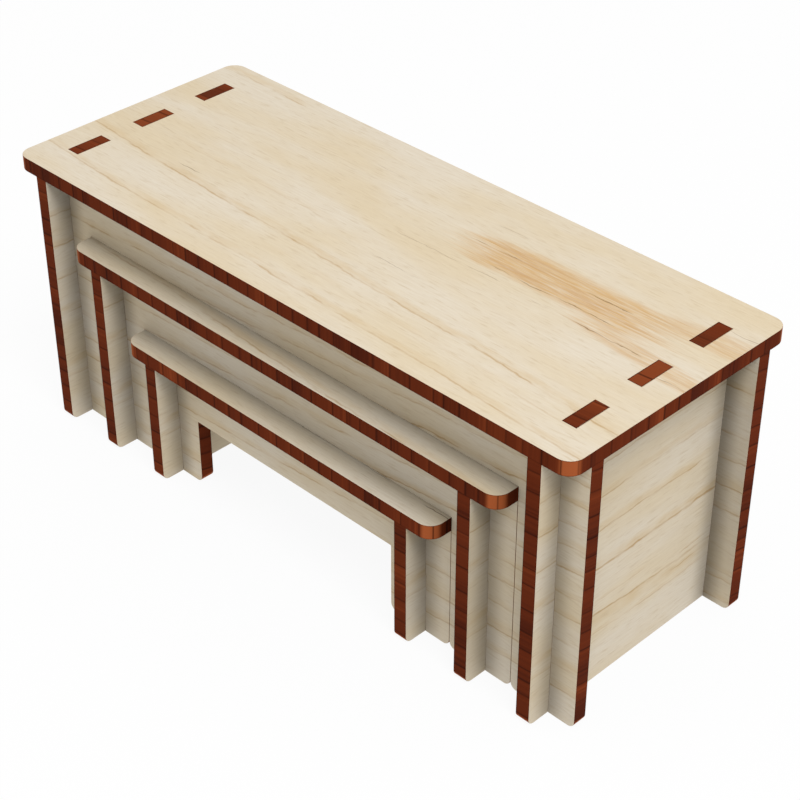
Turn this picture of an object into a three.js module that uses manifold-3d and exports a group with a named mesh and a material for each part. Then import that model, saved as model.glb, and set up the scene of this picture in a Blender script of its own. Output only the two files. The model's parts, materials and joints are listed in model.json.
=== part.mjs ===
// A nest of three tabletop display risers, cut from flat plywood sheet.
// A riser is a top on two side panels, tied together by a front and a back panel.
// Tenons on the sides come up through the top. The front and back panels cross the sides in half laps:
// the sides are slotted from above, the front and back panels from below, and the top locks them in.
// All three risers have one depth. Each slides along Y through the arches of the next larger one.
// Millimetres, +Z up. X runs along the length, -Y is the front, and the nest stands on Z = 0.

import * as THREE from "three";
import { mergeVertices } from "three/addons/utils/BufferGeometryUtils.js";
import Module from "manifold-3d";

// Sheet and clearances
const PLY = 6.35; // thickness of the sheet
const FIT_GAP = 0.1; // on each face of a lap or tenon
const NEST_GAP = 0.15; // between a riser and the arch that it slides through

// Overall sizes
const LARGE_LENGTH = 304.8;
const LARGE_HEIGHT = 127;
const DEPTH = 120.65;

// How far a top reaches past the panels under it
const END_OVERHANG = 12.7; // past the outer face of a side panel
const FACE_OVERHANG = 10.8; // past the outer face of a front or back panel

// Front and back panels
const RAIL_HEIGHT = 25.25; // wood above the arch
const LEG_INNER_WIDTH = 12.55; // wood between a side panel and the arch

// Tenons of a side panel
const TENON_COUNT = 3;
const TENON_WIDTH = 17.2;

// Rounded corners
const TOP_CORNER_RADIUS = 6.35;
const FOOT_RADIUS = 3.175;
const ARC_SEGMENTS = 4; // a quarter circle gets twice as many flats
const CUT_OVERRUN = 1; // how far a cutting block stands out of the sheet

// Finishes
const VENEER = new THREE.MeshStandardMaterial({ color: 0xe8dbbe, roughness: 0.7, metalness: 0 });
const SCORCHED_EDGE = new THREE.MeshStandardMaterial({ color: 0x6e2c18, roughness: 0.5, metalness: 0 });

// Places that every riser shares, from the middle of its depth
const PANEL_OUTER_Y = DEPTH / 2 - FACE_OVERHANG;
const PANEL_INNER_Y = PANEL_OUTER_Y - PLY;

// Worked-out sizes of one riser, from its length and height over the top
function measure(name, length, height) {
  const sideOuterX = length / 2 - END_OVERHANG;
  const sideInnerX = sideOuterX - PLY;
  const shoulder = height - PLY; // underside of the top
  return {
    name,
    length,
    height,
    shoulder,
    sideOuterX,
    sideInnerX,
    lapHeight: shoulder / 2,
    archHalfWidth: sideInnerX - LEG_INNER_WIDTH,
    archHeight: shoulder - RAIL_HEIGHT,
  };
}

// The riser that just slides through another riser's arches
function measureNext(name, outer) {
  const length = 2 * (outer.archHalfWidth - NEST_GAP);
  return measure(name, length, outer.archHeight - NEST_GAP);
}

// Closed outline through square corners, each given as [x, y] or [x, y, radius]
function outline(corners) {
  const path = new THREE.Shape();
  const count = corners.length;
  corners.forEach(([x, y, radius = 0], i) => {
    const corner = new THREE.Vector2(x, y);
    const towards = (other) => new THREE.Vector2(other[0], other[1]).sub(corner).normalize();
    const back = towards(corners[(i + count - 1) % count]);
    const ahead = towards(corners[(i + 1) % count]);
    const start = corner.clone().addScaledVector(back, radius);
    if (i === 0) {
      path.moveTo(start.x, start.y);
    } else {
      path.lineTo(start.x, start.y);
    }
    if (radius > 0) {
      const centre = start.clone().addScaledVector(ahead, radius);
      const startAngle = Math.atan2(-ahead.y, -ahead.x);
      const endAngle = Math.atan2(-back.y, -back.x);
      path.absarc(centre.x, centre.y, radius, startAngle, endAngle, back.cross(ahead) > 0);
    }
  });
  path.closePath();
  return path;
}

// A shape cut from the sheet, lying on Z = 0
function sheetGeometry(shape) {
  const options = { depth: PLY, bevelEnabled: false, curveSegments: ARC_SEGMENTS };
  return new THREE.ExtrudeGeometry(shape, options);
}

function sheetPanel(name, geometry) {
  const mesh = new THREE.Mesh(geometry, [VENEER, SCORCHED_EDGE]);
  mesh.name = name;
  return mesh;
}

const wasm = await Module();
wasm.setup();

// A closed geometry as a solid that can be cut
function solidOf(geometry) {
  const bare = geometry.clone();
  bare.deleteAttribute("normal");
  bare.deleteAttribute("uv");
  const { attributes, index } = mergeVertices(bare);
  const triVerts = new Uint32Array(index.array);
  const mesh = new wasm.Mesh({ numProp: 3, vertProperties: attributes.position.array, triVerts });
  return new wasm.Manifold(mesh);
}

// The sheet with blocks cut out of it. Flat triangles are its faces, and the others its cut edges.
function cutSheet(sheet, blocks) {
  const solid = blocks.reduce((rest, block) => rest.subtract(solidOf(block)), solidOf(sheet));
  const { vertProperties, triVerts } = solid.getMesh();
  const heightOf = (vertex) => vertProperties[3 * vertex + 2];
  const faces = [];
  const edges = [];
  for (let i = 0; i < triVerts.length; i += 3) {
    const triangle = triVerts.subarray(i, i + 3);
    const flat = triangle.every((vertex) => heightOf(vertex) === heightOf(triangle[0]));
    (flat ? faces : edges).push(...triangle);
  }
  const geometry = new THREE.BufferGeometry();
  geometry.setAttribute("position", new THREE.BufferAttribute(vertProperties, 3));
  geometry.setIndex([...faces, ...edges]);
  geometry.addGroup(0, faces.length, 0);
  geometry.addGroup(faces.length, edges.length, 1);
  const split = geometry.toNonIndexed();
  split.computeVertexNormals();
  return split;
}

// Middles of the tenons along Y: the outer two stand against the front and back panels
function tenonMiddles() {
  const reach = PANEL_INNER_Y - FIT_GAP - TENON_WIDTH / 2;
  const pitch = (2 * reach) / (TENON_COUNT - 1);
  return Array.from({ length: TENON_COUNT }, (_, i) => -reach + i * pitch);
}

// Seen from above: X along the length, Y along the depth
function topShape(riser) {
  const x = riser.length / 2;
  const y = DEPTH / 2;
  const r = TOP_CORNER_RADIUS;
  return outline([
    [-x, -y, r],
    [x, -y, r],
    [x, y, r],
    [-x, y, r],
  ]);
}

// Blocks that cut the slots for the tenons of both sides
function tenonSlotBlocks(riser) {
  const sideMiddleX = (riser.sideInnerX + riser.sideOuterX) / 2;
  const slotSize = [PLY + 2 * FIT_GAP, TENON_WIDTH + 2 * FIT_GAP, PLY + 2 * CUT_OVERRUN];
  return [-1, 1].flatMap((end) =>
    tenonMiddles().map((middle) =>
      new THREE.BoxGeometry(...slotSize).translate(end * sideMiddleX, middle, PLY / 2),
    ),
  );
}

// Seen from the end: first coordinate along the depth, second one up.
// The outer tenons rise straight from the lap slots, so their walls are one line.
function sideShape(riser) {
  const y = DEPTH / 2;
  const slotOuterY = PANEL_OUTER_Y + FIT_GAP;
  const slotInnerY = PANEL_INNER_Y - FIT_GAP;
  const corners = [
    [-y, 0, FOOT_RADIUS],
    [y, 0, FOOT_RADIUS],
    [y, riser.shoulder],
    [slotOuterY, riser.shoulder],
    [slotOuterY, riser.lapHeight],
    [slotInnerY, riser.lapHeight],
  ];
  tenonMiddles()
    .reverse()
    .forEach((middle, i) => {
      const first = middle + TENON_WIDTH / 2;
      const last = middle - TENON_WIDTH / 2;
      if (i > 0) {
        corners.push([first, riser.shoulder]);
      }
      corners.push([first, riser.height], [last, riser.height]);
      if (i < TENON_COUNT - 1) {
        corners.push([last, riser.shoulder]);
      }
    });
  corners.push(
    [-slotInnerY, riser.lapHeight],
    [-slotOuterY, riser.lapHeight],
    [-slotOuterY, riser.shoulder],
    [-y, riser.shoulder],
  );
  return outline(corners);
}

// Seen from the front: first coordinate along the length, second one up
function facePanelShape(riser) {
  const x = riser.length / 2;
  const archX = riser.archHalfWidth;
  const slotInnerX = riser.sideInnerX - FIT_GAP;
  const slotOuterX = riser.sideOuterX + FIT_GAP;
  const slotTop = riser.lapHeight + FIT_GAP;
  const rightLeg = [
    [archX, riser.archHeight],
    [archX, 0, FOOT_RADIUS],
    [slotInnerX, 0],
    [slotInnerX, slotTop],
    [slotOuterX, slotTop],
    [slotOuterX, 0],
    [x, 0, FOOT_RADIUS],
    [x, riser.shoulder],
  ];
  const leftLeg = rightLeg.map(([cornerX, ...rest]) => [-cornerX, ...rest]).reverse();
  return outline([...rightLeg, ...leftLeg]);
}

function makeTop(riser) {
  const sheet = sheetGeometry(topShape(riser));
  const panel = sheetPanel(`${riser.name}_top`, cutSheet(sheet, tenonSlotBlocks(riser)));
  panel.position.z = riser.shoulder;
  return panel;
}

// The sheet's thickness runs along +X from startX.
function makeSide(riser, hand, startX) {
  const panel = sheetPanel(`${riser.name}_side_${hand}`, sheetGeometry(sideShape(riser)));
  panel.rotation.set(Math.PI / 2, Math.PI / 2, 0);
  panel.position.x = startX;
  return panel;
}

// The sheet's thickness runs along -Y from startY.
function makeFacePanel(riser, facing, startY) {
  const panel = sheetPanel(`${riser.name}_${facing}_panel`, sheetGeometry(facePanelShape(riser)));
  panel.rotation.x = Math.PI / 2;
  panel.position.y = startY;
  return panel;
}

function makeRiser(riser) {
  const group = new THREE.Group();
  group.name = `${riser.name}_riser`;
  group.add(
    makeTop(riser),
    makeSide(riser, "left", -riser.sideOuterX),
    makeSide(riser, "right", riser.sideInnerX),
    makeFacePanel(riser, "front", -PANEL_INNER_Y),
    makeFacePanel(riser, "back", PANEL_OUTER_Y),
  );
  return group;
}

const large = measure("large", LARGE_LENGTH, LARGE_HEIGHT);
const medium = measureNext("medium", large);
const small = measureNext("small", medium);

const nest = new THREE.Group();
nest.name = "nesting_display_risers";
nest.add(makeRiser(large), makeRiser(medium), makeRiser(small));

export default nest;
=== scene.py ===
# %% [markdown]
# # A nest of three display risers
# Three small plywood risers stand one inside the other, and slide out to make a display of three steps.
# Each is a top on two side panels, tied together by a front and a back panel with an arch in it. This
# script only has to give the boards their finish, and to light and photograph them. The model's box is
# kept here.

# %% Load the imported risers
import json
import math

import bmesh
import bpy
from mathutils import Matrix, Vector


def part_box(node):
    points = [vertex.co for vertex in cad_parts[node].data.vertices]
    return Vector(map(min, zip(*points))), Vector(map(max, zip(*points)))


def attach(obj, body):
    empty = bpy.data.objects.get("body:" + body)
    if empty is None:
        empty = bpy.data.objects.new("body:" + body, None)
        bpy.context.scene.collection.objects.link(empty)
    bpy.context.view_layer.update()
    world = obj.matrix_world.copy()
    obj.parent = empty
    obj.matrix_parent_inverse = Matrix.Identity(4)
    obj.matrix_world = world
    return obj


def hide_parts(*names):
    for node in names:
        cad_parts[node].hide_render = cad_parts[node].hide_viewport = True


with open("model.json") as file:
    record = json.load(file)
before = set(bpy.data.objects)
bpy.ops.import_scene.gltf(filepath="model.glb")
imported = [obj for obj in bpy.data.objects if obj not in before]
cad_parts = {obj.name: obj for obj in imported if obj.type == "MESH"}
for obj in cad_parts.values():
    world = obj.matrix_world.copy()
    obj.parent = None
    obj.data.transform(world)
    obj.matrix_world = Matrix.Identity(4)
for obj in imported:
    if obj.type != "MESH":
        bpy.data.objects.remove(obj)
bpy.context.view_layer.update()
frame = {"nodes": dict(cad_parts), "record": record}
scene = bpy.context.scene
print("boards in the frame:", ", ".join(sorted(frame["nodes"])))

# %% [markdown]
# ## Camera
# The nest is seen from the front right and from above, close to the diagonal of a cube, through a long lens
# that keeps its edges nearly parallel.
# A camera can be aimed by a constraint, or by angles typed in by hand. Two points are plainer: the rotation
# that turns the camera's own -Z axis onto the line from the one to the other is worked out by
# `to_track_quat`.

# %% Camera
CAMERA_PLACE = Vector((0.48001, -0.46756, 0.52167))
CAMERA_AIM = Vector((0.01854, -0.00577, 0.05930))
LENS = 89.62  # millimetres, on the sensor below
SENSOR = 36.0

camera = bpy.data.objects.new("camera", bpy.data.cameras.new("camera"))
camera.data.lens = LENS
camera.data.sensor_width = SENSOR
camera.location = CAMERA_PLACE
camera.rotation_mode = "QUATERNION"
camera.rotation_quaternion = (CAMERA_AIM - CAMERA_PLACE).to_track_quat("-Z", "Y")
scene.collection.objects.link(camera)
scene.camera = camera
print("camera stands", round((CAMERA_AIM - CAMERA_PLACE).length, 3), "m from the middle of the nest")

# %% [markdown]
# ## Helpers for node trees
# Every finish below is a tree of shader nodes, and building one in Python means making nodes and linking
# their sockets, over and over. Five short helpers keep that readable: `feed` links a socket or sets its
# number, `add_node` makes a node and feeds it, `calc` does one sum, `ramp` runs from one number to another,
# and `mix` blends two colours.

# %% Helpers for node trees
def feed(tree, socket, value):
    """Links the socket to another node's output, or sets its own value."""
    if isinstance(value, bpy.types.NodeSocket):
        tree.links.new(value, socket)
    else:
        socket.default_value = value


def add_node(tree, kind, inputs=None, **settings):
    node = tree.nodes.new(kind)
    for name, value in settings.items():
        setattr(node, name, value)
    for name, value in (inputs or {}).items():
        feed(tree, node.inputs[name], value)
    return node


def calc(tree, operation, *values):
    node = add_node(tree, "ShaderNodeMath", operation=operation)
    for socket, value in zip(node.inputs, values):
        feed(tree, socket, value)
    return node.outputs[0]


def ramp(tree, value, low, high):
    """The low number where the value is 0, and the high one where it is 1."""
    return calc(tree, "MULTIPLY_ADD", value, high - low, low)


def mix(tree, share, first, second):
    """The first colour where share is 0, and the second where it is 1."""
    node = add_node(tree, "ShaderNodeMix", data_type="RGBA")
    # The node has sockets for every kind of data, and those for colours are found by their place.
    share_socket, first_socket, second_socket = node.inputs[0], node.inputs[6], node.inputs[7]
    feed(tree, share_socket, share)
    feed(tree, first_socket, first)
    feed(tree, second_socket, second)
    return node.outputs[2]


print("helpers:", ", ".join(helper.__name__ for helper in (feed, add_node, calc, ramp, mix)))

# %% [markdown]
# ## Dome and floor
# The nest stands in soft light that comes from all round, as in a white tent over a light table, so corners
# and overhangs darken gently and no hard shadow falls. The world is that tent, and the floor is the table.
# A floor that only threw light back would be dark under the nest. One that glows evenly also lights the
# inner faces that show through the arches.
# What the camera sees of the world and the floor is plain white. Lighting the room until it is white would
# bleach the boards, so the Light Path node tells the camera's rays, and those of reflections, from the rays
# that carry light: only the first find white. The floor keeps a trace of diffuse shading, so the nest still
# stands in its own soft shadow.

# %% Dome and floor
DOME_LIGHT = 0.55
FLOOR_GLOW = 0.7  # light that the floor throws up at the boards
FLOOR_SHADE = 0.07  # share of the floor's look that can be shaded
FLOOR_HALF_SIZE = 6.0
FLOOR_DROP = 0.0002  # keeps the floor's face off the faces of the feet
WHITE = (1.0, 1.0, 1.0, 1.0)
PLAIN_WHITE = 1.0  # strength that shows as white


def seen_directly(tree):
    """1 for rays from the camera and from reflections, 0 for rays that carry light."""
    ray = add_node(tree, "ShaderNodeLightPath").outputs
    mirrored = calc(tree, "MAXIMUM", ray["Is Glossy Ray"], ray["Is Transmission Ray"])
    return calc(tree, "MAXIMUM", ray["Is Camera Ray"], mirrored)


def mix_shaders(tree, share, first, second):
    node = add_node(tree, "ShaderNodeMixShader", {0: share, 1: first, 2: second})
    return node.outputs[0]


def make_world():
    world = bpy.data.worlds.new("white tent")
    world.use_nodes = True
    tree = world.node_tree
    tree.nodes.clear()
    tent = add_node(tree, "ShaderNodeBackground", {"Color": WHITE, "Strength": DOME_LIGHT})
    backdrop = add_node(tree, "ShaderNodeBackground", {"Color": WHITE, "Strength": PLAIN_WHITE})
    both = mix_shaders(tree, seen_directly(tree), tent.outputs[0], backdrop.outputs[0])
    add_node(tree, "ShaderNodeOutputWorld", {"Surface": both})
    return world


def floor_material():
    material = bpy.data.materials.new("pale floor")
    material.use_nodes = True
    tree = material.node_tree
    tree.nodes.clear()
    glow = add_node(tree, "ShaderNodeEmission", {"Color": WHITE, "Strength": FLOOR_GLOW})
    shaded = add_node(tree, "ShaderNodeBsdfDiffuse", {"Color": WHITE})
    plain = add_node(tree, "ShaderNodeEmission", {"Color": WHITE, "Strength": PLAIN_WHITE})
    look = mix_shaders(tree, FLOOR_SHADE, plain.outputs[0], shaded.outputs[0])
    both = mix_shaders(tree, seen_directly(tree), glow.outputs[0], look)
    add_node(tree, "ShaderNodeOutputMaterial", {"Surface": both})
    return material


def make_floor():
    half = FLOOR_HALF_SIZE
    corners = [(-half, -half, 0), (half, -half, 0), (half, half, 0), (-half, half, 0)]
    mesh = bpy.data.meshes.new("floor")
    mesh.from_pydata(corners, [], [(0, 1, 2, 3)])
    mesh.materials.append(floor_material())
    floor = bpy.data.objects.new("floor", mesh)
    floor.location.z = -FLOOR_DROP
    scene.collection.objects.link(floor)


scene.world = make_world()
make_floor()
print("dome at", DOME_LIGHT, "and a floor of", 2 * FLOOR_HALF_SIZE, "m")

# %% [markdown]
# ## Studio light
# On top of the tent's even light, one softbox stands high on the right and a little to the front. It gives
# the tops their brightness and the right ends theirs, and leaves the fronts in half shade.
# Its direction decides the shadows. From there it reaches in between the legs only as far as their front
# edges, and the inside corners stay dark. A large lamp close by would do the same, but would fade from one
# end of the nest to the other.
# Standard colour management shows a colour as it is written, once the light on it adds up to 1.

# %% Studio light
SOFTBOX_SWING = math.radians(-26)  # from the right towards the front
SOFTBOX_RISE = math.radians(58)
SOFTBOX_AWAY = 2.2
SOFTBOX_SIZE = 0.95
SOFTBOX_POWER = 26.0  # watts
NEST_MIDDLE = Vector((0, 0, 0.06))

lamp = bpy.data.lights.new("softbox", "AREA")
lamp.shape = "SQUARE"
lamp.size = SOFTBOX_SIZE
lamp.energy = SOFTBOX_POWER
softbox = bpy.data.objects.new("softbox", lamp)
flat_reach = math.cos(SOFTBOX_RISE)
towards_softbox = Vector(
    (
        flat_reach * math.cos(SOFTBOX_SWING),
        flat_reach * math.sin(SOFTBOX_SWING),
        math.sin(SOFTBOX_RISE),
    )
)
softbox.location = NEST_MIDDLE + SOFTBOX_AWAY * towards_softbox
softbox.rotation_mode = "QUATERNION"
softbox.rotation_quaternion = (-towards_softbox).to_track_quat("-Z", "Y")
scene.collection.objects.link(softbox)
scene.view_settings.view_transform = "Standard"
print("softbox at", [round(number, 2) for number in softbox.location])

# %% [markdown]
# ## Where a board lies in its sheet
# Boards are cut from sheets, and a texture has to know which way the grain runs in each of them. A UV map
# could say so, and so could the object's own axes. A named attribute on the mesh is plainer, and it can hold
# a third number: `sheet_place` gives how far a point lies along the grain, across it, and through the
# thickness. The grain runs along the length of a top, a front and a back panel, and along the depth of a
# side.
# A smaller front panel is cut out of the arch of the next larger one, so the grain runs on from the one to
# the other, and all three keep their real places. Other boards and the hidden faces come from further on in
# the sheet, so they are shifted. The sides have their lines at like heights but fibres of their own, which
# is what a second attribute is for: `sheet_cut` is a number that the noise of the fibres takes as a fourth
# axis.

# %% Where a board lies in its sheet
X_AXIS = Vector((1, 0, 0))
Y_AXIS = Vector((0, 1, 0))
Z_AXIS = Vector((0, 0, 1))
BOARD_AXES = {  # along the grain, across it, and through to the better face
    "top": (X_AXIS, Y_AXIS, Z_AXIS),
    "side": (Y_AXIS, Z_AXIS, X_AXIS),
    "front_panel": (X_AXIS, Z_AXIS, -Y_AXIS),
    "back_panel": (X_AXIS, Z_AXIS, Y_AXIS),
}
STEP_ALONG = 0.37  # from one place in the sheet to the next, in metres
STEP_ACROSS = 0.0285
BACK_PANEL_STEPS = 3
OTHER_FACE_STEPS = 5
RISERS = ("large", "medium", "small")


def board_kind(node):
    return next(kind for kind in BOARD_AXES if kind in node)


def riser_name(node):
    return node.split("_")[0]


def steps_along_sheet(node, better_face):
    """How many places further on in the sheet this face of the board was cut."""
    steps = {"top": RISERS.index(riser_name(node)), "back_panel": BACK_PANEL_STEPS}
    first = steps.get(board_kind(node), 0)
    return first if better_face else first + OTHER_FACE_STEPS


def sheet_cut(node):
    """A number of its own for each side, and 0 for the other boards."""
    sides = sorted(name for name in frame["nodes"] if board_kind(name) == "side")
    return float(sides.index(node)) if node in sides else 0.0


for node in frame["nodes"]:
    print(node, "is a", board_kind(node), "at step", steps_along_sheet(node, True), "cut", sheet_cut(node))

# %% [markdown]
# ## The boards
# A board is a flat sheet with a cut outline. The CAD solid has the right outline and thickness, but its
# corners are knife sharp, and no real edge is: a fine rounding along every arris catches the light.
# The solid could be given a Bevel modifier. Here its mesh is copied and worked with bmesh instead, because
# the sheet places have to be written after the bevel, on the corners as they end up. Welding and dissolving
# turn the triangles back into whole faces first, so that the bevel runs evenly round the outline.
# The veneered faces, the cut edges and the arrises between them get slots for three finishes.

# %% The boards' meshes
ARRIS = 0.00012  # rounding of an arris, in metres
ARRIS_STEPS = 2
ROUND_PROFILE = 0.5
WELD = 1e-6
FLAT_ANGLE = math.radians(1)
SHARP_ANGLE = math.radians(30)
VENEER_SLOT, EDGE_SLOT, ARRIS_SLOT = range(3)
ALMOST = 0.999
BURNT_FACET = 0.7  # an arris facet that turns less than this to the face is burnt like the edge


def eased_solid(node):
    """The node's solid as a bmesh, with whole faces and rounded arrises."""
    solid = bmesh.new()
    solid.from_mesh(frame["nodes"][node].data)
    bmesh.ops.remove_doubles(solid, verts=solid.verts, dist=WELD)
    bmesh.ops.dissolve_limit(solid, angle_limit=FLAT_ANGLE, verts=solid.verts, edges=solid.edges)
    sharp = [edge for edge in solid.edges if edge.calc_face_angle() > SHARP_ANGLE]
    bmesh.ops.bevel(
        solid,
        geom=sharp,
        offset=ARRIS,
        segments=ARRIS_STEPS,
        profile=ROUND_PROFILE,
        affect="EDGES",
        clamp_overlap=True,
    )
    return solid


def set_finish_slots(solid, through):
    for face in solid.faces:
        facing = abs(face.normal.dot(through))
        if facing > ALMOST:
            face.material_index = VENEER_SLOT
        elif facing < BURNT_FACET:
            face.material_index = EDGE_SLOT
        else:
            face.material_index = ARRIS_SLOT
        face.smooth = True


print("arrises are rounded by", ARRIS, "m, in", ARRIS_STEPS, "steps")

# %% [markdown]
# ## Marks on the mesh
# Four attributes are written on the corners of the faces. Two are described above. The third tells where
# the burnt edge is painted paler. On a round corner that is a painted highlight, where it would catch the
# light: 1 in the middle of a rounded corner and 0 on straight edges, which follows from the way the edge
# faces: straight along an axis on a straight edge, and in between on a round one. The small facets of an
# arris are left out. The ends of the tenons, flush with the top, are painted paler too, most in the middle
# of the depth.
# The fourth, `joint_place`, is for the painted shade along the joints, where the creases would be in shade.
# It holds how far along the board a point lies, how far out the crossing board sits, and how much painted
# shade the face takes. The inner face of a front or back panel takes more.

# %% Marks on the mesh
SPECK = 1e-6  # square metres: an arris facet between two cut edges is smaller
UPRIGHT = 0.1  # an edge that turns more than this to the face is an arris facet
TENON_END_PALING = 0.38
TENON_END_PALING_FADE = 0.73  # share of it that is lost towards the ends of the side
CROSSING = {"side": "front_panel", "front_panel": "side_right", "back_panel": "side_right"}
NO_JOINT = 10.0  # metres: a seat so far away that nothing lies near it
CREASE_SHADE_SHARE = 0.36  # how far the painted shade covers the veneer right at a joint
INNER_CREASE_SHADE_SHARE = 0.6  # the same, on the inner face of a front or back panel


# Painted highlight: the middle of a round corner of a cut edge is painted paler, where it would catch the
# light.
def highlight_and_paling(vertex, along, across, through):
    """How far the cut edge at this vertex faces between the board's two directions."""
    walls = [face for face in vertex.link_faces if face.calc_area() > SPECK]
    normals = [wall.normal for wall in walls if abs(wall.normal.dot(through)) < UPRIGHT]
    if not normals:
        return 0.0
    facing = sum(normals, Vector()).normalized()
    if any(facing.angle(normal) > SHARP_ANGLE for normal in normals):
        return 0.0
    return abs(2 * facing.dot(along) * facing.dot(across))


def tenon_end_paling(face, point, high):
    """How much paler the end of a tenon is painted: most in the middle of the depth, and less outwards."""
    flush = face.normal.z > ALMOST and face.calc_center_median().z > high.z - WELD
    return TENON_END_PALING * (1 - TENON_END_PALING_FADE * abs(point.y) / high.y) if flush else 0.0


def joint_seat(node):
    """How far from the middle of the nest the boards stand that cross this one."""
    kind = board_kind(node)
    if kind not in CROSSING:
        return NO_JOINT
    low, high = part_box(riser_name(node) + "_" + CROSSING[kind])
    return abs((low + high).dot(BOARD_AXES[kind][0])) / 2


def write_marks(solid, node):
    kind = board_kind(node)
    along, across, through = BOARD_AXES[kind]
    low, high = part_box(node)
    middle = (low + high) / 2
    place = solid.loops.layers.float_vector.new("sheet_place")
    cut = solid.loops.layers.float.new("sheet_cut")
    paling_layer = solid.loops.layers.float.new("highlight_and_paling")
    joint = solid.loops.layers.float_vector.new("joint_place")
    seat = joint_seat(node)
    cut_number = sheet_cut(node)
    for face in solid.faces:
        better_face = face.material_index != VENEER_SLOT or face.normal.dot(through) > 0
        steps = steps_along_sheet(node, better_face)
        # Painted shade along the joints: the inner faces of front and back panels take more of it.
        crease_shade = CREASE_SHADE_SHARE if better_face or kind == "side" else INNER_CREASE_SHADE_SHARE
        for corner in face.loops:
            point = corner.vert.co
            corner[place] = (
                point.dot(along) + steps * STEP_ALONG,
                point.dot(across) + steps * STEP_ACROSS,
                (point - middle).dot(through),
            )
            corner[cut] = cut_number
            corner[joint] = (point.dot(along), seat, crease_shade)
            # Painted highlight on round corners; the tenon ends of the sides are painted paler too.
            corner[paling_layer] = highlight_and_paling(corner.vert, along, across, through)
            if kind == "side":
                corner[paling_layer] = max(corner[paling_layer], tenon_end_paling(face, point, high))


for riser in RISERS:
    seat = joint_seat(riser + "_front_panel")
    print(riser, "sides stand", round(seat, 4), "m to the left and right of the middle")

# %% [markdown]
# ## Grain: fibres
# Close up, pale veneer is made of fine strands that run along the grain and short flecks between them, over
# slow clouds of warmer and greyer wood. All three are noise, stretched along the grain: a noise texture with
# another scale on each axis.
# Three veneers and the arrises use them, so they are a node group. It takes a place in the sheet and puts
# out values, and each material blends its own colours by them.

# %% Grain: fibres
STRAND_SCALE = (70.0, 1250.0, 0.0)  # repeats per metre along, across and through the sheet
FLECK_SCALE = (130.0, 1050.0, 0.0)
CLOUD_SCALE = (12.0, 46.0, 0.0)
STRAND_EASE = (0.28, 0.72)  # noise that counts as nothing, and noise that counts in full
FLECK_EASE = (0.54, 0.7)
CLOUD_EASE = (0.3, 0.7)
PLAIN_DETAIL = 2.0  # how many finer layers a noise has
FINE_DETAIL = 3.0
FLECK_DETAIL = 1.5
PLAIN_ROUGHNESS = 0.5  # how strong the finer layers are
STRAND_ROUGHNESS = 0.65


def new_group(name, inputs, outputs):
    """A node group, with the sockets of its input node and of its output node."""
    tree = bpy.data.node_groups.new(name, "ShaderNodeTree")
    for label, kind in inputs.items():
        tree.interface.new_socket(label, in_out="INPUT", socket_type="NodeSocket" + kind)
    for label, kind in outputs.items():
        tree.interface.new_socket(label, in_out="OUTPUT", socket_type="NodeSocket" + kind)
    given = add_node(tree, "NodeGroupInput").outputs
    result = add_node(tree, "NodeGroupOutput").inputs
    return tree, given, result


def use_group(tree, group, inputs):
    node = add_node(tree, "ShaderNodeGroup", node_tree=group)
    for name, value in inputs.items():
        feed(tree, node.inputs[name], value)
    return node.outputs


def noise(tree, place, scale, detail=PLAIN_DETAIL, roughness=PLAIN_ROUGHNESS, cut=0.0):
    """Noise from 0 to 1, with scale in repeats per metre along, across and through the sheet."""
    stretch = add_node(tree, "ShaderNodeVectorMath", {0: place, 1: scale}, operation="MULTIPLY")
    inputs = {
        "Vector": stretch.outputs[0],
        "W": cut,
        "Scale": 1.0,
        "Detail": detail,
        "Roughness": roughness,
    }
    return add_node(tree, "ShaderNodeTexNoise", inputs, noise_dimensions="4D").outputs["Fac"]


def ease(tree, value, start, end):
    """A smooth step: 0 at start and before it, 1 at end and past it."""
    inputs = {"Value": value, "From Min": start, "From Max": end}
    return add_node(tree, "ShaderNodeMapRange", inputs, interpolation_type="SMOOTHSTEP").outputs[0]


def make_fibres():
    tree, given, result = new_group(
        "fibres",
        {"Place": "Vector", "Cut": "Float"},
        {"Strands": "Float", "Flecks": "Float", "Clouds": "Float"},
    )
    place, cut = given["Place"], given["Cut"]
    strands = noise(tree, place, STRAND_SCALE, FINE_DETAIL, STRAND_ROUGHNESS, cut)
    flecks = noise(tree, place, FLECK_SCALE, FLECK_DETAIL, cut=cut)
    clouds = noise(tree, place, CLOUD_SCALE, FINE_DETAIL, cut=cut)
    feed(tree, result["Strands"], ease(tree, strands, *STRAND_EASE))
    feed(tree, result["Flecks"], ease(tree, flecks, *FLECK_EASE))
    feed(tree, result["Clouds"], ease(tree, clouds, *CLOUD_EASE))
    return tree


fibres = make_fibres()
print("node group", fibres.name, "with", len(fibres.nodes), "nodes")

# %% [markdown]
# ## Grain: growth lines
# Where a year's growth ends, the veneer shows a thin tan line with a warm glow on one side of it. A wave
# texture would draw such lines at even steps, and noise at no steps at all. The real ones come at uneven
# distances, and some stop short, so each line is placed one by one: a group draws one line, and a material
# places it as often as its board has lines. A second group lets the lines wander a little, slowly, quickly
# and in fine feathers, as the tree did.

# %% Grain: growth lines
WANDERS = (  # repeats per metre, and how far a line wanders off its place, in metres
    ((16.0, 9.0, 0.0), 0.0056),
    ((75.0, 30.0, 0.0), 0.0018),
    ((230.0, 420.0, 0.0), 0.0016),
)
NOISE_MIDDLE = 0.5
GLOW_SHIFT = -0.5  # the middle of a glow lies half its width off the line
END_FADE = 0.006  # over which a short line fades out


def make_wander():
    tree, given, result = new_group(
        "grain wander", {"Place": "Vector"}, {"Along": "Float", "Across": "Float"}
    )
    parts = add_node(tree, "ShaderNodeSeparateXYZ", {0: given["Place"]}).outputs
    across = parts["Y"]
    for scale, reach in WANDERS:
        swing = calc(tree, "SUBTRACT", noise(tree, given["Place"], scale), NOISE_MIDDLE)
        across = calc(tree, "MULTIPLY_ADD", swing, reach, across)
    feed(tree, result["Along"], parts["X"])
    feed(tree, result["Across"], across)
    return tree


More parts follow.
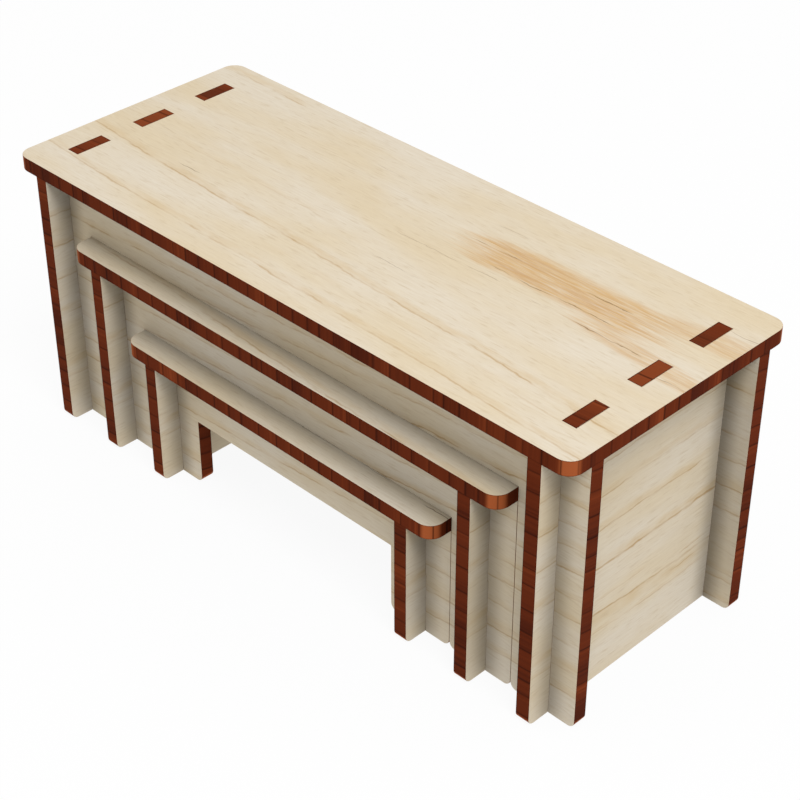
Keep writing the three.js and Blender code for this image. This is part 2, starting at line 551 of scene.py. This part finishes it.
def make_grain_line():
    numbers = ("Along", "Across", "Seat", "Lean", "From", "To", "Core", "Glow", "Dark")
    tree, given, result = new_group(
        "grain line", {name: "Float" for name in numbers}, {"Line": "Float", "Glow": "Float"}
    )
    seat = calc(tree, "MULTIPLY_ADD", given["Along"], given["Lean"], given["Seat"])
    off = calc(tree, "SUBTRACT", given["Across"], seat)
    line = ease(tree, calc(tree, "ABSOLUTE", off), given["Core"], 0.0)
    off_glow = calc(tree, "MULTIPLY_ADD", given["Glow"], GLOW_SHIFT, off)
    glow_width = calc(tree, "ABSOLUTE", given["Glow"])
    glow = ease(tree, calc(tree, "ABSOLUTE", off_glow), glow_width, 0.0)
    past_start = calc(tree, "SUBTRACT", given["Along"], given["From"])
    before_end = calc(tree, "SUBTRACT", given["To"], given["Along"])
    inside = calc(tree, "MINIMUM", past_start, before_end)
    strength = calc(tree, "MULTIPLY", ease(tree, inside, 0.0, END_FADE), given["Dark"])
    feed(tree, result["Line"], calc(tree, "MULTIPLY", line, strength))
    feed(tree, result["Glow"], calc(tree, "MULTIPLY", glow, strength))
    return tree


grain_wander = make_wander()
grain_line = make_grain_line()
print("groups:", grain_wander.name, "and", grain_line.name)

# %% [markdown]
# ## The lines of each kind of board
# The lines are written down as a carpenter would chalk them on the board: how far across the grain each one
# sits, how dark it is, and where it starts and ends if it doesn't run right through. All sizes here are
# millimetres. On the sides and the front and back panels, a seat is a height above the feet. On the tops it
# is a distance from the middle of the depth. A line may lean, and then its seat is where it crosses the
# middle. Past both ends of a board's span the same lines come again.
# Growth lines are broad and tan. Hairlines are fine pores, thin and dark, and only the top shows them.

# %% The lines of each kind of board
MM = 0.001
FAR = 100_000  # millimetres: the line runs on past every board
HAIR_GLOW = 0.9
HAIR_CORE = 0.34
PANEL_LEAN = 0.075  # the lines of the front and back panels rise to the right


def line(seat, dark, glow=2.0, core=0.6, start=-FAR, end=FAR, lean=0.0):
    """One line, with its inputs for the grain line group in metres. A negative glow lies below it."""
    return {
        "Seat": seat * MM,
        "Dark": dark,
        "Glow": glow * MM,
        "Core": core * MM,
        "From": start * MM,
        "To": end * MM,
        "Lean": lean,
    }


def hairline(seat, dark, start, end):
    return line(seat, dark, glow=HAIR_GLOW, core=HAIR_CORE, start=start, end=end)


TOP_SPAN = (-64, 64)
TOP_LINES = [
    line(-28.0, 0.62, glow=3.4, core=0.7, lean=-0.054),
    line(-49.6, 0.52, glow=3.0, core=0.7, lean=-0.037),
    line(53.3, 0.45, glow=3.0, start=-155, end=-96),
    line(-8.0, 0.20, glow=2.4, start=-120, end=-10, lean=-0.03),
    line(-38.0, 0.16, glow=2.4, start=-20, end=140, lean=-0.04),
]
TOP_HAIRLINES = [
    hairline(38.7, 0.45, 27, 48),
    hairline(38.7, 0.35, 76, 88),
    hairline(38.7, 0.30, -42, -16),
    hairline(29.0, 0.35, 31, 46),
    hairline(24.0, 0.80, 28, 56),
    hairline(24.0, 0.85, 84, 110),
    hairline(13.4, 0.90, 46, 110),
    hairline(7.2, 0.45, 2, 60),
    hairline(5.6, 0.80, 74, 130),
    hairline(-0.5, 0.60, 138, 160),
    hairline(41.3, 0.60, 138, 160),
    hairline(-12.3, 0.50, 7, 38),
    hairline(-17.2, 0.65, -100, -83),
    hairline(-2.2, 0.35, -155, -120),
]
SIDE_SPAN = (0, 124)
SIDE_LINES = [
    line(104.0, 0.45),
    line(89.3, 0.55, glow=3.0),
    line(73.7, 0.60, glow=3.0),
    line(55.5, 0.80, glow=3.6, core=0.9),
    line(39.3, 0.35, glow=1.0, core=0.4, start=-26, end=5),
    line(32.2, 0.75, glow=-5.0, core=0.8, lean=-0.025),
    line(34.3, 0.55, glow=1.0, core=0.4, start=22, end=41),
    line(28.2, 0.55, core=0.45, start=18, end=70),
    line(22.7, 0.40, glow=1.5, core=0.45),
]
PANEL_SPAN = (-8, 122)
PANEL_LINES = [
    line(100.2, 0.45, lean=PANEL_LEAN),
    line(90.1, 0.75, lean=PANEL_LEAN),
    line(80.3, 0.50, lean=PANEL_LEAN),
    line(70.7, 0.55, glow=2.6, lean=PANEL_LEAN),
    line(60.5, 0.70, lean=PANEL_LEAN),
    line(49.3, 0.45, lean=PANEL_LEAN),
    line(39.7, 0.55, lean=PANEL_LEAN),
    line(27.6, 0.40, lean=PANEL_LEAN),
    line(15.1, 0.60, glow=4.0, lean=PANEL_LEAN),
    line(4.0, 0.50, glow=3.0, lean=PANEL_LEAN),
    line(107.3, 0.60, glow=2.6, lean=0.052),
]
print(len(TOP_LINES), "lines on a top,", len(SIDE_LINES), "on a side,", len(PANEL_LINES), "on a panel")

# %% [markdown]
# ## The tan streak
# A patch of darker heartwood runs into the large top from its right end, and feathers out along the grain.
# It could be painted on the vertices, but a flat face has none to spare. So it is three long lobes, drawn by
# a group from their ends, their middle line and their width. Before that, noise pulls the place to and fro
# along the grain, which frays the ends into strands.

# %% The tan streak
FRAY_SCALE = (12.0, 700.0, 0.0)
FRAY_REACH = 0.05  # to and fro along the grain, in metres
SWELL_SCALE = (42.0, 70.0, 0.0)
SWELL_REACH = 0.005


def make_streak_lobe():
    numbers = ("Along", "Across", "From", "To", "Fade", "Middle", "Lean", "Half width", "Soft")
    tree, given, result = new_group(
        "streak lobe", {name: "Float" for name in numbers}, {"Lobe": "Float"}
    )
    past_start = calc(tree, "SUBTRACT", given["Along"], given["From"])
    before_end = calc(tree, "SUBTRACT", given["To"], given["Along"])
    started = ease(tree, past_start, 0.0, given["Fade"])
    running = calc(tree, "MULTIPLY", started, ease(tree, before_end, 0.0, given["Fade"]))
    middle = calc(tree, "MULTIPLY_ADD", past_start, given["Lean"], given["Middle"])
    off = calc(tree, "ABSOLUTE", calc(tree, "SUBTRACT", given["Across"], middle))
    half = calc(tree, "MULTIPLY", given["Half width"], calc(tree, "SQRT", started))
    inner = calc(tree, "SUBTRACT", half, given["Soft"])
    outer = calc(tree, "ADD", half, given["Soft"])
    feed(tree, result["Lobe"], calc(tree, "MULTIPLY", ease(tree, off, outer, inner), running))
    return tree


def lobe(start, end, fade, middle, lean, half, soft):
    """One lobe, with its inputs for the streak lobe group in metres."""
    names = ("From", "To", "Fade", "Middle", "Half width", "Soft")
    sizes = (start, end, fade, middle, half, soft)
    return {**{name: size * MM for name, size in zip(names, sizes)}, "Lean": lean}


def streak_mask(tree, place, lobes):
    """The streak's lobes as one mask, frayed along the grain."""
    parts = add_node(tree, "ShaderNodeSeparateXYZ", {0: place}).outputs
    fray = calc(tree, "SUBTRACT", noise(tree, place, FRAY_SCALE, FINE_DETAIL), NOISE_MIDDLE)
    swell = calc(tree, "SUBTRACT", noise(tree, place, SWELL_SCALE), NOISE_MIDDLE)
    along = calc(tree, "MULTIPLY_ADD", fray, FRAY_REACH, parts["X"])
    across = calc(tree, "MULTIPLY_ADD", swell, SWELL_REACH, parts["Y"])
    streak = 0.0
    for dark, values in lobes:
        made = use_group(tree, streak_lobe, {"Along": along, "Across": across, **values})
        streak = calc(tree, "MAXIMUM", streak, calc(tree, "MULTIPLY", made["Lobe"], dark))
    return streak


streak_lobe = make_streak_lobe()
STREAK_LOBES = [  # how dark, and the lobe in millimetres
    (1.00, lobe(14, 140, 34, 21.0, 0.014, 9.8, 2.6)),
    (0.62, lobe(96, 190, 26, 26.5, 0.100, 6.0, 2.6)),
    (0.66, lobe(80, 190, 24, 11.8, -0.130, 4.4, 2.2)),
]
print(streak_lobe.name, "is used", len(STREAK_LOBES), "times")

# %% [markdown]
# ## Painted shade along the joints
# Where boards cross, the veneer is painted greyer in the creases than the light alone would make it: a
# painted shade, as a soft trace along the joints. A crease map could be baked for it. The mesh already says
# where the joints are, so a short group works it out instead: how far a point is from the face of the
# crossing board, eased over a finger's width, times the painted shade that the face takes.

# %% Painted shade along the joints
CREASE_SHADE_REACH = 0.010  # from the board that crosses, in metres
HALF_SHEET = 0.003175


# Painted shade: the veneer darkens towards a joint, where the crease would be in shade.
def make_crease_shade():
    tree, given, result = new_group("painted crease shade", {"Joint": "Vector"}, {"Shade": "Float"})
    parts = add_node(tree, "ShaderNodeSeparateXYZ", {0: given["Joint"]}).outputs
    along, seat, most = parts["X"], parts["Y"], parts["Z"]
    off_seat = calc(tree, "SUBTRACT", calc(tree, "ABSOLUTE", along), seat)
    away = calc(tree, "SUBTRACT", calc(tree, "ABSOLUTE", off_seat), HALF_SHEET)
    near = ease(tree, away, CREASE_SHADE_REACH, 0.0)
    feed(tree, result["Shade"], calc(tree, "MULTIPLY", near, most))
    return tree


crease_shade_group = make_crease_shade()
print(crease_shade_group.name, "reaches", CREASE_SHADE_REACH, "m from a joint")

# %% [markdown]
# ## Bare materials
# All finishes start alike: a Principled shader, the marks on the mesh, and a fine bump. Colours are picked
# on screen, so `colour` turns them into the linear numbers that a shader takes.
# So much pale wood, standing so close, would throw its light into every corner and fill the creases between
# the legs. `dim_bounce` takes most of that light away: rays that come from another surface find the wood
# far darker than the camera does.

# %% Bare materials
BLACK = (0.0, 0.0, 0.0, 1.0)
BOUNCE_LOSS = 0.9
BUMP_HEIGHT = 0.00004  # metres


def colour(rgb):
    """A colour picked on screen, from 0 to 255, through the screen's curve to linear numbers."""
    linear = [((c / 255 + 0.055) / 1.055) ** 2.4 for c in rgb]
    return (*linear, 1.0)


def mark(tree, name, output):
    return add_node(tree, "ShaderNodeAttribute", attribute_name=name).outputs[output]


def new_material(name):
    """A material with a bare shader, and the marks on the mesh to feed to its groups."""
    material = bpy.data.materials.new(name)
    material.use_nodes = True
    tree = material.node_tree
    shader = tree.nodes["Principled BSDF"]
    marks = {"Place": mark(tree, "sheet_place", "Vector"), "Cut": mark(tree, "sheet_cut", "Fac")}
    return material, tree, shader, marks


def dim_bounce(tree, wood):
    """The wood's colour, darker for light on its way from one surface to another."""
    ray = add_node(tree, "ShaderNodeLightPath").outputs
    return mix(tree, calc(tree, "MULTIPLY", ray["Is Diffuse Ray"], BOUNCE_LOSS), wood, BLACK)


def add_bump(tree, shader, height):
    inputs = {"Height": height, "Distance": BUMP_HEIGHT, "Strength": 1.0}
    bump = add_node(tree, "ShaderNodeBump", inputs)
    feed(tree, shader.inputs["Normal"], bump.outputs["Normal"])


print("bounced light loses a share of", BOUNCE_LOSS)

# %% [markdown]
# ## Pale veneer: layers
# The faces of the boards are thin pale hardwood, rubbed smooth and left bare. Their colour is built up in
# layers, each mixed over the last: clouds, strands and flecks first, then the streak with its darker
# threads, the glows and the lines, and last a painted shade along the joints. One long tree would do, but a
# function for each layer can be read on its own. All lines are broken up by noise, so that none is ruled,
# and Wrap nodes make them come again along and across the sheet.

# %% Pale veneer: layers
PALE = (232, 221, 202)
CREAM = (228, 211, 180)
STRAND_TAN = (204, 182, 148)
FLECK_TAN = (196, 172, 134)
GLOW_TAN = (212, 182, 132)
LINE_TAN = (182, 143, 86)
HAIR_BROWN = (122, 88, 50)
STREAK_TAN = (216, 179, 127)
STREAK_BROWN = (190, 140, 84)
# colour of the painted shade along the joints
CREASE_SHADE = (60, 46, 32)
STRAND_SHARE = 0.26  # how far the colour of the strands covers the wood
FLECK_SHARE = 0.28
STREAK_SHARE = (0.3, 1.1)  # between the strands, and on them
STREAK_THREADS = (26.0, 620.0, 0.0)
THREAD_ROUGHNESS = 0.6
THREAD_EASE = (0.44, 0.64)
THREAD_SHARE = 0.4
BREAK_SCALE = (60.0, 220.0, 0.0)
BREAK_EASE = (0.33, 0.62)
GLOW_SHARE = (0.15, 0.65)  # where a line breaks, and where it is whole
LINE_SHARE = (0.1, 1.0)


def base_wood(tree, grain):
    wood = mix(tree, grain["Clouds"], colour(PALE), colour(CREAM))
    strands = calc(tree, "MULTIPLY", grain["Strands"], STRAND_SHARE)
    wood = mix(tree, strands, wood, colour(STRAND_TAN))
    flecks = calc(tree, "MULTIPLY", grain["Flecks"], FLECK_SHARE)
    return mix(tree, flecks, wood, colour(FLECK_TAN))


def with_streak(tree, wood, place, grain, lobes):
    streak = streak_mask(tree, place, lobes)
    tan = calc(tree, "MULTIPLY", streak, ramp(tree, grain["Strands"], *STREAK_SHARE))
    wood = mix(tree, tan, wood, colour(STREAK_TAN))
    threads = noise(tree, place, STREAK_THREADS, FINE_DETAIL, THREAD_ROUGHNESS)
    brown = calc(tree, "MULTIPLY", ease(tree, threads, *THREAD_EASE), THREAD_SHARE)
    return mix(tree, calc(tree, "MULTIPLY", streak, brown), wood, colour(STREAK_BROWN))


def line_masks(tree, along, across, lines):
    """All the lines of a board and their glows, each as one mask."""
    drawn, glowing = 0.0, 0.0
    for values in lines:
        made = use_group(tree, grain_line, {"Along": along, "Across": across, **values})
        drawn = calc(tree, "MAXIMUM", drawn, made["Line"])
        glowing = calc(tree, "MAXIMUM", glowing, made["Glow"])
    return drawn, glowing


def with_lines(tree, wood, place, span, lines, hairlines):
    wander = use_group(tree, grain_wander, {"Place": place})
    low, high = span
    across = calc(tree, "WRAP", wander["Across"], high * MM, low * MM)
    along = calc(tree, "WRAP", wander["Along"], STEP_ALONG / 2, -STEP_ALONG / 2)
    whole = ease(tree, noise(tree, place, BREAK_SCALE), *BREAK_EASE)
    drawn, glowing = line_masks(tree, along, across, lines)
    glow = calc(tree, "MULTIPLY", glowing, ramp(tree, whole, *GLOW_SHARE))
    wood = mix(tree, glow, wood, colour(GLOW_TAN))
    core = calc(tree, "MULTIPLY", drawn, ramp(tree, whole, *LINE_SHARE))
    wood = mix(tree, core, wood, colour(LINE_TAN))
    if hairlines:
        fine, _ = line_masks(tree, along, across, hairlines)
        wood = mix(tree, calc(tree, "MULTIPLY", fine, whole), wood, colour(HAIR_BROWN))
    return wood


# Painted shade: darkens the veneer along the joints.
def with_crease_shade(tree, wood):
    joint = mark(tree, "joint_place", "Vector")
    crease_shade = use_group(tree, crease_shade_group, {"Joint": joint})["Shade"]
    return mix(tree, crease_shade, wood, colour(CREASE_SHADE))


print("veneer goes from", PALE, "to", CREAM, "under its lines")

# %% [markdown]
# ## Pale veneer: materials
# Each kind of board gets a material with its own lines, and the front and back panels share one. The strands
# also stand up a little, through a Bump node, and change the roughness. The shader's own shine is kept low,
# because bare wood is nearly matt.

# %% Pale veneer: materials
VENEER_ROUGHNESS = (0.56, 0.7)  # between the strands, and on them
VENEER_SHINE = 0.2


def veneer(name, span, lines, hairlines=(), lobes=()):
    """Pale veneer with these lines, which come again past both ends of the span."""
    material, tree, shader, marks = new_material(name)
    place = marks["Place"]
    grain = use_group(tree, fibres, marks)
    wood = base_wood(tree, grain)
    if lobes:
        wood = with_streak(tree, wood, place, grain, lobes)
    wood = with_lines(tree, wood, place, span, lines, hairlines)
    wood = with_crease_shade(tree, wood)
    feed(tree, shader.inputs["Base Color"], dim_bounce(tree, wood))
    feed(tree, shader.inputs["Roughness"], ramp(tree, grain["Strands"], *VENEER_ROUGHNESS))
    shader.inputs["Specular IOR Level"].default_value = VENEER_SHINE
    add_bump(tree, shader, grain["Strands"])
    return material


panel_veneer = veneer("panel veneer", PANEL_SPAN, PANEL_LINES)
VENEERS = {
    "top": veneer("top veneer", TOP_SPAN, TOP_LINES, TOP_HAIRLINES, STREAK_LOBES),
    "side": veneer("side veneer", SIDE_SPAN, SIDE_LINES),
    "front_panel": panel_veneer,
    "back_panel": panel_veneer,
}
for kind, material in VENEERS.items():
    print(kind, "gets", material.name, "with", len(material.node_tree.nodes), "nodes")

# %% [markdown]
# ## Scorched edge: the bands
# The cutter burns the edges to a deep red brown. Up close they are banded: blocks of lighter and darker wood
# follow each other along the edge, about a finger's width each, with a thin black line where they meet.
# Along an edge only one of the first two numbers of the sheet place changes, so their sum counts the way
# along it, straight or round a corner. A Voronoi texture in one dimension cuts that way into uneven blocks.
# It gives each a random tone, and how far a point is from its middle, which shades it from the one end to
# the other.
# What doesn't change with the third number runs right through the thickness. On the uprights the bands lie a
# little aslant and curved, which is a shift that grows with the third number. The slant is an input, because
# each kind of board has its own.

# %% Scorched edge: the bands
BLOCKS = 115.0  # per metre
THREADS = (640.0, 0.0, 0.0)
SWELLS = (60.0, 0.0, 0.0)
BAND_CURVE = 90.0
BLOCK_TONE = (-0.13, 0.13)  # the darkest block, and the lightest
SHADE_TONE = 0.12  # along one block
THREAD_TONE = 0.4
SWELL_TONE = 0.6
SEAM_WIDTH = 0.09  # in blocks
SEAM_STRENGTH = (0.3, 1.0)  # of the faintest seam, and of the strongest
CHAR_START = 0.0027  # from the middle of the thickness, in metres
CHAR_END = 0.0032


def way_along_edge(tree, parts, given):
    """How far along the edge a point lies, shifted by the slant of the bands and by the cut."""
    curve = calc(tree, "MULTIPLY", calc(tree, "MULTIPLY", parts["Z"], parts["Z"]), BAND_CURVE)
    skew = calc(tree, "MULTIPLY", calc(tree, "ADD", parts["Z"], curve), given["Slant"])
    way = calc(tree, "ADD", calc(tree, "ADD", parts["X"], parts["Y"]), skew)
    return calc(tree, "MULTIPLY_ADD", given["Cut"], STEP_ALONG, way)


def voronoi_along(tree, way, feature):
    inputs = {"W": way, "Scale": BLOCKS}
    settings = {"voronoi_dimensions": "1D", "feature": feature}
    return add_node(tree, "ShaderNodeTexVoronoi", inputs, **settings).outputs


def make_scorch():
    tree, given, result = new_group(
        "scorch",
        {"Place": "Vector", "Cut": "Float", "Slant": "Float"},
        {"Tone": "Float", "Seams": "Float", "Char": "Float"},
    )
    parts = add_node(tree, "ShaderNodeSeparateXYZ", {0: given["Place"]}).outputs
    way = way_along_edge(tree, parts, given)
    blocks = voronoi_along(tree, way, "F1")
    block = add_node(tree, "ShaderNodeSeparateColor", {0: blocks["Color"]}).outputs
    off_middle = calc(tree, "MULTIPLY", calc(tree, "SUBTRACT", way, blocks["W"]), BLOCKS)
    line_of_way = add_node(tree, "ShaderNodeCombineXYZ", {0: way}).outputs[0]
    threads = noise(tree, line_of_way, THREADS, roughness=THREAD_ROUGHNESS)
    swells = noise(tree, line_of_way, SWELLS)
    tone = ramp(tree, block["Red"], *BLOCK_TONE)
    tone = calc(tree, "MULTIPLY_ADD", off_middle, SHADE_TONE, tone)
    tone = calc(tree, "MULTIPLY_ADD", threads, THREAD_TONE, tone)
    tone = calc(tree, "MULTIPLY_ADD", swells, SWELL_TONE, tone)
    to_seam = voronoi_along(tree, way, "DISTANCE_TO_EDGE")["Distance"]
    seam = ease(tree, to_seam, SEAM_WIDTH, 0.0)
    seam_strength = ramp(tree, block["Green"], *SEAM_STRENGTH)
    off_centre = calc(tree, "ABSOLUTE", parts["Z"])
    feed(tree, result["Tone"], tone)
    feed(tree, result["Seams"], calc(tree, "MULTIPLY", seam, seam_strength))
    feed(tree, result["Char"], ease(tree, off_centre, CHAR_START, CHAR_END))
    return tree


scorch = make_scorch()
print("node group", scorch.name, "with", len(scorch.nodes), "nodes")

# %% [markdown]
# ## Scorched edge: the finish
# The tone runs from deep red through red brown to orange brown. A Color Ramp node could hold that, but two
# mixes are as short, and each can be followed on its own. Round corners get a painted highlight in pale
# orange, and the tenon ends are painted paler the same way. The seams between the blocks are charred, and so
# is the burn beside the arrises.

# %% Scorched edge: the finish
CHAR = (38, 12, 6)
DEEP_RED = (78, 30, 14)
RED_BROWN = (104, 43, 20)
ORANGE_BROWN = (142, 66, 34)
# pale orange of the painted highlight on round corners, and of the paler tenon ends
PALE_ORANGE = (186, 100, 56)
RED_BROWN_TONES = (0.3, 0.52)  # where red brown begins, and where it is full
ORANGE_TONES = (0.52, 0.78)
PALING_EASE = (0.1, 0.7)
PALING_SHARE = 0.75
SEAM_SHARE = 0.85
CHAR_SHARE = 0.6
EDGE_ROUGHNESS = (0.5, 0.75)  # of the darkest tone, and of the lightest
EDGE_SHINE = 0.015
EDGE_SLANTS = {  # along the edge for each step through the thickness
    "top": 0.0,
    "side": -0.1,
    "front_panel": -0.2,
    "back_panel": 0.2,
}


def scorched_edge(name, slant):
    material, tree, shader, marks = new_material(name)
    burn = use_group(tree, scorch, {**marks, "Slant": slant})
    # Painted highlight on the round corners, and paler tenon ends.
    paled = ease(tree, mark(tree, "highlight_and_paling", "Fac"), *PALING_EASE)
    red_brown = ease(tree, burn["Tone"], *RED_BROWN_TONES)
    wood = mix(tree, red_brown, colour(DEEP_RED), colour(RED_BROWN))
    wood = mix(tree, ease(tree, burn["Tone"], *ORANGE_TONES), wood, colour(ORANGE_BROWN))
    wood = mix(tree, calc(tree, "MULTIPLY", paled, PALING_SHARE), wood, colour(PALE_ORANGE))
    wood = mix(tree, calc(tree, "MULTIPLY", burn["Seams"], SEAM_SHARE), wood, colour(CHAR))
    wood = mix(tree, calc(tree, "MULTIPLY", burn["Char"], CHAR_SHARE), wood, colour(CHAR))
    feed(tree, shader.inputs["Base Color"], dim_bounce(tree, wood))
    feed(tree, shader.inputs["Roughness"], ramp(tree, burn["Tone"], *EDGE_ROUGHNESS))
    shader.inputs["Specular IOR Level"].default_value = EDGE_SHINE
    add_bump(tree, shader, burn["Tone"])
    return material


EDGES = {kind: scorched_edge("scorched edge of a " + kind, slant) for kind, slant in EDGE_SLANTS.items()}
print(len(EDGES), "edge finishes, with", len(EDGES["top"].node_tree.nodes), "nodes each")

# %% [markdown]
# ## Arris
# Between face and edge, the rounding cuts through the first veneer and shows its clean pale wood as a
# hairline. It takes the fibres group too, in its own two colours.

# %% Arris
ARRIS_PALE = (236, 214, 186)
ARRIS_TAN = (206, 164, 124)
ARRIS_ROUGHNESS = (0.55, 0.65)  # between the strands, and on them


def clean_arris():
    material, tree, shader, marks = new_material("clean arris")
    grain = use_group(tree, fibres, marks)
    wood = mix(tree, grain["Clouds"], colour(ARRIS_PALE), colour(ARRIS_TAN))
    feed(tree, shader.inputs["Base Color"], dim_bounce(tree, wood))
    feed(tree, shader.inputs["Roughness"], ramp(tree, grain["Strands"], *ARRIS_ROUGHNESS))
    shader.inputs["Specular IOR Level"].default_value = VENEER_SHINE
    return material


arris_finish = clean_arris()
print(arris_finish.name, "has", len(arris_finish.node_tree.nodes), "nodes")

# %% [markdown]
# ## Putting the boards in
# Each board stands in for the CAD node it was made from, and rides on the riser that the node belongs to, so
# it moves when that riser slides. The Weighted Normal modifier makes the large faces decide the shading at
# the arrises: the faces stay flat, the round corners smooth, and the rounding turns from the one to the
# other.


def make_board(node, body):
    kind = board_kind(node)
    solid = eased_solid(node)
    set_finish_slots(solid, through=BOARD_AXES[kind][2])
    write_marks(solid, node)
    mesh = bpy.data.meshes.new(node + "_board")
    solid.to_mesh(mesh)
    solid.free()
    for material in (VENEERS[kind], EDGES[kind], arris_finish):
        mesh.materials.append(material)
    board = bpy.data.objects.new(node + "_board", mesh)
    scene.collection.objects.link(board)
    board.modifiers.new("flat faces decide", "WEIGHTED_NORMAL").mode = "FACE_AREA"
    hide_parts(node)
    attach(board, body)


for body, nodes in frame["record"]["behaviour"]["bodies"].items():
    for node in nodes:
        make_board(node, body)
    print(body, "carries", len(nodes), "boards")
